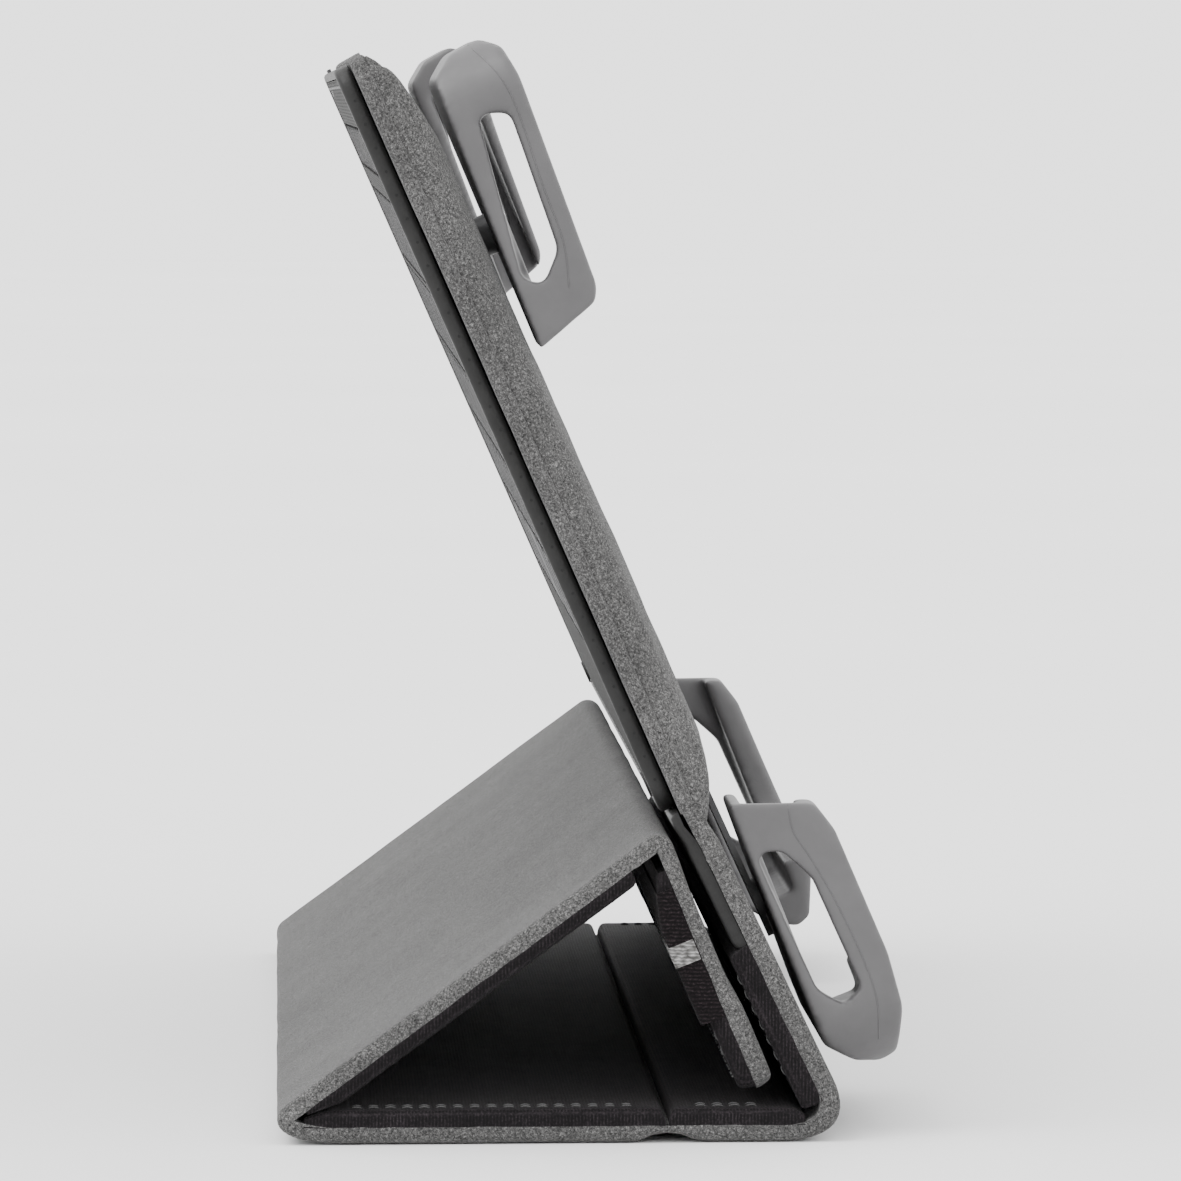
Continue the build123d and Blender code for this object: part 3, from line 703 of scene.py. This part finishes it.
def swell(piece, frames=14, cap=0.0008):
    """Blows the pad up as cloth, held along its back. No point moves further than cap."""
    sewn = piece.vertex_groups.new(name="sewn")
    limit = LIP + 0.9
    fixed = [v.index for v in piece.data.vertices
             if (Vector((v.co.x, v.co.z)) / MM - UPPER.origin).dot(UPPER.out) < limit]
    sewn.add(fixed, 1.0, "REPLACE")
    before = [v.co.copy() for v in piece.data.vertices]
    cloth = piece.modifiers.new("cloth", "CLOTH")
    cloth.settings.quality = 5
    cloth.settings.mass = 0.25
    cloth.settings.tension_stiffness = 12
    cloth.settings.use_pressure = True
    cloth.settings.uniform_pressure_force = 3.0
    cloth.settings.effector_weights.gravity = 0
    cloth.settings.vertex_group_mass = "sewn"
    cloth.point_cache.frame_start, cloth.point_cache.frame_end = 1, frames
    scene = bpy.context.scene
    for step in range(1, frames + 1):
        scene.frame_set(step)
    evaluated = piece.evaluated_get(bpy.context.evaluated_depsgraph_get())
    after = [v.co.copy() for v in evaluated.to_mesh().vertices]
    piece.modifiers.remove(cloth)
    piece.vertex_groups.remove(sewn)
    for vertex, old, new in zip(piece.data.vertices, before, after):
        move = new - old
        if move.length > cap:
            move *= cap / move.length
        vertex.co = old + move
    scene.frame_set(1)


def upper_shell():
    """Felt shell behind the pad, with a ruffled head."""
    rows = [(UPPER.at(s, LIP), UPPER.at(s, 0)) for s in spaced(0.6, UPPER_LENGTH - 1.4)]
    rows += [(inner + UPPER.out * LIP, outer + UPPER.out * LIP)
             for inner, outer in rounded_end(UPPER, UPPER_LENGTH, -LIP, 1.1)]
    along = [(outer - UPPER.origin).dot(UPPER.along) for _, outer in rows]
    piece = shell("felt_upper_back", rows, COVER_HALF, rim=0.9, boxy=2.6, wave=0.1,
                  seam=0.12, flip=-1,
                  plan=lambda i: corner_inset(UPPER_LENGTH - along[i], UPPER_CORNER))
    dress(piece, FELT)
    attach(piece, "back")
    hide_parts("back_upper_cloth")


def bar(name, points, radius, material, sides=8):
    """Thin closed tube through points in metres."""
    bm = bmesh.new()
    rings = []
    for i, point in enumerate(points):
        ahead = points[min(i + 1, len(points) - 1)] - points[max(i - 1, 0)]
        ahead.normalize()
        side = ahead.orthogonal() if i == 0 else (side - ahead * side.dot(ahead))
        side.normalize()
        other = ahead.cross(side)
        rings.append([bm.verts.new(point + (side * math.cos(a) + other * math.sin(a)) * radius)
                      for a in (2 * math.pi * k / sides for k in range(sides))])
    for a, b in zip(rings, rings[1:]):
        for k in range(sides):
            bm.faces.new((a[k], a[(k + 1) % sides], b[(k + 1) % sides], b[k]))
    for ring in (rings[0], rings[-1]):
        bm.faces.new(ring)
    return dress(solid(name, bm), material)


def pad_seam():
    """Sewn ridge where the pad meets the shell, down both sides and over the head."""
    half, top, radius = COVER_HALF - 0.15, UPPER_LENGTH - 0.9, UPPER_CORNER
    path = [(s, -half) for s in spaced(1.5, top - radius, 1.5)]
    for k in range(1, 7):
        turn = math.pi / 2 * k / 6
        path.append((top - radius + radius * math.sin(turn),
                     -half + radius * (1 - math.cos(turn))))
    path += [(top, y) for y in spaced(-half + radius, 0, 3.0)[1:]]
    path += [(s, -y) for s, y in reversed(path[:-1])]
    points = []
    for s, y in path:
        pucker = 0.10 * math.sin(s * 2.1 + y * 2.1) + 0.12 * ripple(Vector((s, y)), 0, 4)
        points.append(spot(UPPER.at(s, LIP + pucker), y))
    ridge = bar("pad_seam", points, 0.5 * MM, FELT)
    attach(ridge, "back")


# ---- stitches ----
def stitches(name, body, runs, material, length=1.8, pitch=2.8, radius=0.13):
    """Rows of short threads. A run is (start, end, normal) in metres."""
    bm = bmesh.new()
    for start, end, normal in runs:
        along = end - start
        count = int(along.length / (pitch * MM))
        along.normalize()
        side = along.cross(normal).normalized()
        for i in range(count):
            drift = 0.12 * MM * math.sin(i * 2.3)
            centre = start + along * ((i + 0.5) * pitch * MM) + side * drift
            rings = []
            for k in range(5):
                t = k / 4 * 2 - 1
                lift = normal * (radius * MM * (0.9 - 1.4 * t * t))
                size = radius * MM * (1 - 0.55 * t * t)
                middle = centre + along * (t * length / 2 * MM) + lift
                rings.append([bm.verts.new(middle + (side * math.cos(a)
                                                     + normal * math.sin(a)) * size)
                              for a in (math.pi / 3 * n for n in range(6))])
            for a, b in zip(rings, rings[1:]):
                for n in range(6):
                    bm.faces.new((a[n], a[(n + 1) % 6], b[(n + 1) % 6], b[n]))
            bm.faces.new(rings[0])
            bm.faces.new(rings[-1])
    made = dress(solid(name, bm), material)
    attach(made, body)
    return made


def panel_runs(section, start, end, height, insets, ends=()):
    """Stitch runs along a panel's two Y edges, and across it at the given places."""
    normal = section.out * math.copysign(1, height)
    normal = Vector((normal.x, 0, normal.y))
    runs = []
    for inset in insets:
        for side in (-1, 1):
            y = side * (COVER_HALF - inset)
            runs.append((spot(section.at(start, height), y), spot(section.at(end, height), y),
                         normal))
    for s in ends:
        y = COVER_HALF - insets[0]
        runs.append((spot(section.at(s, height), -y), spot(section.at(s, height), y), normal))
    return runs


def all_stitches():
    lined = -HALF_PANEL - 0.05
    rows = (STITCH_INSET, STITCH_INSET + 2)
    base_end = GROOVE.x - LOW.x
    stitches("stitches_base", "base", panel_runs(BASE, 9, base_end - 3, lined, rows),
             THREAD)
    stitches("stitches_spine", "spine",
             panel_runs(SPINE, 9, BACK.x - GROOVE.x - 3, lined, rows),
             THREAD)
    stitches("stitches_prop", "prop",
             panel_runs(PROP, 12, PROP_LENGTH - 8, lined + 0.4, (STITCH_INSET,)),
             DARK_THREAD_AND_HOLE_SHADE)
    stitches("stitches_flap", "flap",
             panel_runs(FLAP, 31, FLAP_LENGTH - 5, lined, (STITCH_INSET,), (FLAP_LENGTH - 3.4,)),
             THREAD)
    stitches("stitches_back", "back",
             panel_runs(LOWER, 8, POCKET_FROM - 1, -LOWER_HALF - 0.55, (3.0,)),
             THREAD)


# ---- keyboard pocket ----
def pocket():
    """Smooth strip between the lining and the keyboard, with the ledge it stands on."""
    ledge_end = 2.3
    rows = [(LOWER.at(s, -0.1), LOWER.at(s, -h)) for s, h in
            [(POCKET_FROM + 0.3, 1.2), (POCKET_FROM + 1.0, 2.1), (POCKET_FROM + 2.0, 2.3)]]
    rows += [(LOWER.at(s, -0.1), LOWER.at(s, -2.3)) for s in spaced(POCKET_FROM + 4, 49)]
    rows += [(LOWER.at(50.5, -0.2), LOWER.at(50.5, -ledge_end + 0.1)),
             (UPPER.at(-1.5, -0.3), UPPER.at(-1.5, -2.0)),
             (UPPER.at(0.4, -0.3), UPPER.at(0.4, -1.95)),
             (UPPER.at(1.0, -0.3), UPPER.at(1.0, -1.2))]
    piece = shell("pocket_strip", rows, COVER_HALF - 1.0, rim=0.9, wave=0.05, seam=0.08,
                  flip=-1, sag=0.35)
    dress(piece, POCKET)
    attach(piece, "back")
    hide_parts("keyboard_pocket")


# ---- keyboard ----
def islands(node):
    """Vertex boxes of a CAD node's separate solids, in the upper panel's axes."""
    bm = bmesh.new()
    bm.from_mesh(frame["nodes"][node].data)
    bmesh.ops.remove_doubles(bm, verts=bm.verts, dist=1e-6)
    seen, boxes = set(), []
    for seed in bm.verts:
        if seed in seen:
            continue
        seen.add(seed)
        stack, found = [seed], []
        while stack:
            vertex = stack.pop()
            point = Vector((vertex.co.x, vertex.co.z)) / MM - UPPER.origin
            found.append((point.dot(UPPER.along), vertex.co.y / MM, point.dot(UPPER.out)))
            for edge in vertex.link_edges:
                other = edge.other_vert(vertex)
                if other not in seen:
                    seen.add(other)
                    stack.append(other)
        boxes.append([(min(c), max(c)) for c in zip(*found)])
    bm.free()
    return boxes


def ring(bm, x, y, half_x, half_y, radius, h, dish=0.0, per_corner=4):
    """Rounded rectangle of vertices on the upper panel, at height h."""
    radius = min(radius, half_x, half_y)
    made = []
    for cx, cy, start in ((1, 1, 0), (-1, 1, 90), (-1, -1, 180), (1, -1, 270)):
        for k in range(per_corner + 1):
            a = math.radians(start + 90 * k / per_corner)
            px = x + cx * (half_x - radius) + radius * math.cos(a)
            py = y + cy * (half_y - radius) + radius * math.sin(a)
            made.append(bm.verts.new(spot(UPPER.at(px, h + dish), py)))
    return made


def stack_rings(bm, rings):
    for a, b in zip(rings, rings[1:]):
        count = len(a)
        for k in range(count):
            bm.faces.new((a[k], a[(k + 1) % count], b[(k + 1) % count], b[k]))
    bm.faces.new(rings[0])
    bm.faces.new(rings[-1])


def key_row(index):
    """Low keycaps with rounded shoulders and a shallow dish, one object for each row."""
    node = f"key_row_{index}"
    bm = bmesh.new()
    for (x0, x1), (y0, y1), (h0, h1) in islands(node):
        x, y, hx, hy = (x0 + x1) / 2, (y0 + y1) / 2, (x1 - x0) / 2, (y1 - y0) / 2
        face, foot = h0, h1
        rings = [ring(bm, x, y, hx - inset, hy - inset, 1.7, lerp(foot, face, t))
                 for inset, t in ((0.15, 0), (0.0, 0.35), (0.12, 0.8), (0.35, 0.97),
                                  (0.8, 1.0), (2.0, 0.9), (3.2, 0.84))
                 if inset < min(hx, hy) - 0.6]
        stack_rings(bm, rings)
    piece = dress(solid(node + "_caps", bm, 70), CAP)
    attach(piece, node)
    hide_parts(node)


def keyboard_case():
    """Skin of the slim keyboard: wrapped edges with a row of pin holes, sewn deck."""
    (x0, x1), (y0, y1), (h0, h1) = islands("keyboard_shell")[0]
    rear, front = h0, h1
    x, hx, hy = (x0 + x1) / 2, (x1 - x0) / 2, (y1 - y0) / 2
    deck_level = rear + 0.25
    bm = bmesh.new()
    rings = [ring(bm, x, 0, hx - inset, hy - inset, 5.0, h, per_corner=8)
             for inset, h in ((4.0, front), (0.5, front), (0.12, front - 0.25),
                              (0.0, front - 0.8), (0.0, rear + 0.9), (0.12, rear + 0.4),
                              (0.5, rear + 0.08), (1.0, rear), (1.45, rear + 0.12),
                              (WALL, deck_level + 0.2), (WALL, front - FLOOR_SKIN))]
    stack_rings(bm, rings)
    piece = dress(cut(solid("keyboard_case", bm, 80), control_openings(x1, front)),
                  SHELL)
    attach(piece, "keyboard")
    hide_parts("keyboard_shell")
    pin_holes(x0, x1, hy, (rear + front) / 2)
    inset = 3.0
    normal = Vector((-UPPER.out.x, 0, -UPPER.out.y))
    runs = []
    for side in (-1, 1):
        edge = side * (hy - inset)
        runs.append((spot(UPPER.at(x0 + 6, deck_level), edge),
                     spot(UPPER.at(x1 - 6, deck_level), edge), normal))
    for s in (x0 + inset, x1 - inset):
        runs.append((spot(UPPER.at(s, deck_level), -hy + 6),
                     spot(UPPER.at(s, deck_level), hy - 6), normal))
    stitches("stitches_keyboard", "keyboard", runs, THREAD, 1.6, 2.6, 0.14)


def control_openings(x1, front):
    """Boxes for the charging port, power switch and connect button in the top edge."""
    bm = bmesh.new()
    for reach, low, high, deep in (PORT, SWITCH, BUTTON):
        start, end = x1 - reach, x1 + 1
        corners = ((start, OPENING_FROM), (end, OPENING_FROM), (end, deep), (start, deep))
        stack_rings(bm, [[bm.verts.new(spot(UPPER.at(s, front - d), y)) for s, d in corners]
                         for y in (low, high)])
    return solid("openings", bm)


def cut(piece, tool):
    """Takes the tool's volume out of the piece, and the tool out of the scene."""
    modifier = piece.modifiers.new("cut", "BOOLEAN")
    modifier.object, modifier.operation, modifier.solver = tool, "DIFFERENCE", "EXACT"
    evaluated = piece.evaluated_get(bpy.context.evaluated_depsgraph_get())
    mesh = bpy.data.meshes.new_from_object(evaluated)
    piece.modifiers.clear()
    piece.data = mesh
    bpy.data.objects.remove(tool)
    return piece


def pin_holes(x0, x1, half, level):
    """Small dimples along the wrapped edges, coloured near-black as painted shade inside each hole."""
    bm = bmesh.new()
    for side in (-1, 1):
        for s in spaced(x0 + 6, x1 - 6, 4.3):
            centre = spot(UPPER.at(s, level), side * (half + 0.02))
            spokes = []
            for k in range(8):
                a = math.pi / 4 * k
                offset = UPPER.along * math.cos(a) * 0.26 + UPPER.out * math.sin(a) * 0.26
                spokes.append(bm.verts.new(centre + Vector((offset.x, 0, offset.y)) * MM))
            deep = bm.verts.new(centre - Vector((0, side * 0.01 * MM, 0)))
            for k in range(8):
                bm.faces.new((spokes[k], spokes[(k + 1) % 8], deep))
    # painted shade: the near-black thread colour stands in for the shade inside each shallow hole
    made = dress(solid("keyboard_pin_holes", bm), DARK_THREAD_AND_HOLE_SHADE)
    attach(made, "keyboard")


# ---- grips ----
def soft_grip(name):
    """Rubber grip: the CAD form with every edge softened, as a moulding has."""
    node = frame["nodes"]["grip_" + name]
    piece = bpy.data.objects.new(f"grip_{name}_rubber", node.data.copy())
    bpy.context.scene.collection.objects.link(piece)
    remesh = piece.modifiers.new("remesh", "REMESH")
    remesh.mode = "VOXEL"
    remesh.voxel_size = GRIP_VOXEL * MM
    soften = piece.modifiers.new("smooth", "SMOOTH")
    soften.factor, soften.iterations = 0.5, 16
    evaluated = piece.evaluated_get(bpy.context.evaluated_depsgraph_get())
    mesh = bpy.data.meshes.new_from_object(evaluated)
    piece.modifiers.clear()
    piece.data = mesh
    for polygon in mesh.polygons:
        polygon.use_smooth = True
    dress(piece, SILICONE)
    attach(piece, "grip_" + name)
    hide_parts("grip_" + name)
    parting_line(name, piece)


# parting lines on the grips' side walls: (out of the screen, along the tablet)
PARTING = {"top": [(4.6, 91.6), (7.3, 85.0), (7.9, 78.0), (7.2, 66.0), (6.9, 56.0),
                   (5.0, 48.5)],
           "bottom": [(6.8, 44.6), (6.0, 49.0), (7.0, 54.0), (8.2, 62.0), (8.9, 72.0),
                      (8.6, 80.0), (6.5, 87.0)]}


def parting_line(name, piece):
    """Fine raised line that the two halves of the mould leave along the side wall."""
    end, side = name.split("_")
    up_sign, y_sign = (1 if end == "top" else -1), (-1 if side == "near" else 1)
    inverse = piece.matrix_world.inverted()
    toward = Vector((0, -y_sign, 0))
    points = []
    for out, up in smooth_path(PARTING[end], 30):
        centre = spot(SEAT.at(up * up_sign, out), y_sign * (COVER_HALF + 5))
        hit, place, _, _ = piece.ray_cast(inverse @ centre, toward)
        if hit:
            points.append(piece.matrix_world @ place - toward * 0.01 * MM)
    line = bar(f"grip_{name}_parting_line", points, 0.11 * MM, SILICONE, 6)
    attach(line, "grip_" + name)


def smooth_path(points, count):
    """Points on a Catmull-Rom curve through the given ones."""
    nodes = [Vector(p) for p in points]
    nodes = [nodes[0] * 2 - nodes[1]] + nodes + [nodes[-1] * 2 - nodes[-2]]
    spans = len(nodes) - 3
    made = []
    for i in range(count + 1):
        t = i / count * spans
        k = min(int(t), spans - 1)
        t -= k
        a, b, c, d = nodes[k:k + 4]
        made.append((b * 2 + (c - a) * t + (a * 2 - b * 5 + c * 4 - d) * t * t
                     + (b * 3 - a - c * 3 + d) * t ** 3) / 2)
    return made


# ---- carried-over CAD nodes ----
def carried_over():
    magnet = metal("magnet_metal", (0.55, 0.55, 0.56), 0.3)
    board, sponge = fibreboard(), foam()
    finishes = {
        "heather_cloth": FELT, "lining_cloth": LINING, "stiffener_board": board,
        "magnet_metal": magnet, "foam": sponge, "arm_nylon": ARM,
        "cradle_nylon": moulded("cradle_nylon", (0.07, 0.07, 0.072), 0.5),
        "spring_rubber": moulded("spring_rubber", (0.03, 0.03, 0.03), 0.7),
        "keyboard_shell": SHELL, "keyboard_deck": DECK, "keycaps": CAP,
        "plated_steel": metal("plated_steel", (0.62, 0.62, 0.64), 0.25),
        "membrane": moulded("membrane", (0.20, 0.20, 0.21), 0.35),
        "battery_foil": metal("battery_foil", (0.7, 0.7, 0.7), 0.35),
        "circuit_board": moulded("circuit_board", (0.01, 0.05, 0.025), 0.4),
        "lamp_lens": moulded("lamp_lens", (0.35, 0.36, 0.36), 0.2, coat=0.5),
        "rubber_feet": moulded("rubber_feet", (0.02, 0.02, 0.02), 0.7),
        "switch_plastic": moulded("switch_plastic", (0.05, 0.05, 0.052), 0.4),
    }
    for part in frame["record"]["subparts"]:
        node, slot = part.get("node") or part.get("name"), part.get("material_slot")
        if node in frame["nodes"] and slot in finishes:
            dress(frame["nodes"][node], finishes[slot])


# ---- camera, floor and lights ----
def aim(obj, place, target):
    obj.location = place
    direction = Vector(target) - Vector(place)
    obj.rotation_euler = direction.to_track_quat("-Z", "Y").to_euler()


def camera():
    made = bpy.data.objects.new("camera", bpy.data.cameras.new("camera"))
    bpy.context.scene.collection.objects.link(made)
    made.data.lens, made.data.sensor_width = 206.2, 36.0
    made.data.clip_start = 0.05
    aim(made, (-0.0515, -1.2365, 0.1725), (-0.0003, -0.1275, 0.0917))
    bpy.context.scene.camera = made


def floor():
    """Pale plane just under the base, so that the two faces don't coincide."""
    reach, below = 6.0, 0.0002
    mesh = bpy.data.meshes.new("floor")
    mesh.from_pydata([(-reach, -reach, 0), (reach, -reach, 0), (reach, reach, 0),
                      (-reach, reach, 0)], [], [(0, 1, 2, 3)])
    plane = bpy.data.objects.new("floor", mesh)
    bpy.context.scene.collection.objects.link(plane)
    plane.location.z = -below
    plane.data.materials.append(pale_floor())


def lights():
    """Even white surroundings, and two broad suns from above."""
    world = bpy.data.worlds.new("studio")
    bpy.context.scene.world = world
    world.use_nodes = True
    sky = world.node_tree.nodes["Background"]
    sky.inputs["Color"].default_value = (1, 1, 1, 1)
    sky.inputs["Strength"].default_value = 2.4

    for name, place, spread, strength in (("key", (-1.0, -0.3, 1.4), 40, 2.6),
                                          ("fill", (1.2, -0.6, 1.2), 60, 0.6)):
        light = bpy.data.lights.new(name, "SUN")
        light.energy, light.angle = strength, math.radians(spread)
        lamp = bpy.data.objects.new(name, light)
        bpy.context.scene.collection.objects.link(lamp)
        aim(lamp, place, (0, 0, 0))


base_and_prop_felt()
flap_felt()
spine_and_back_felt()
linings()
elastic_band()
upper_shell()
pad()
pad_seam()
pocket()
keyboard_case()
for number in range(1, 7):
    key_row(number)
for grip_name in ("top_near", "top_far", "bottom_near", "bottom_far"):
    soft_grip(grip_name)
all_stitches()
carried_over()
camera()
floor()
lights()
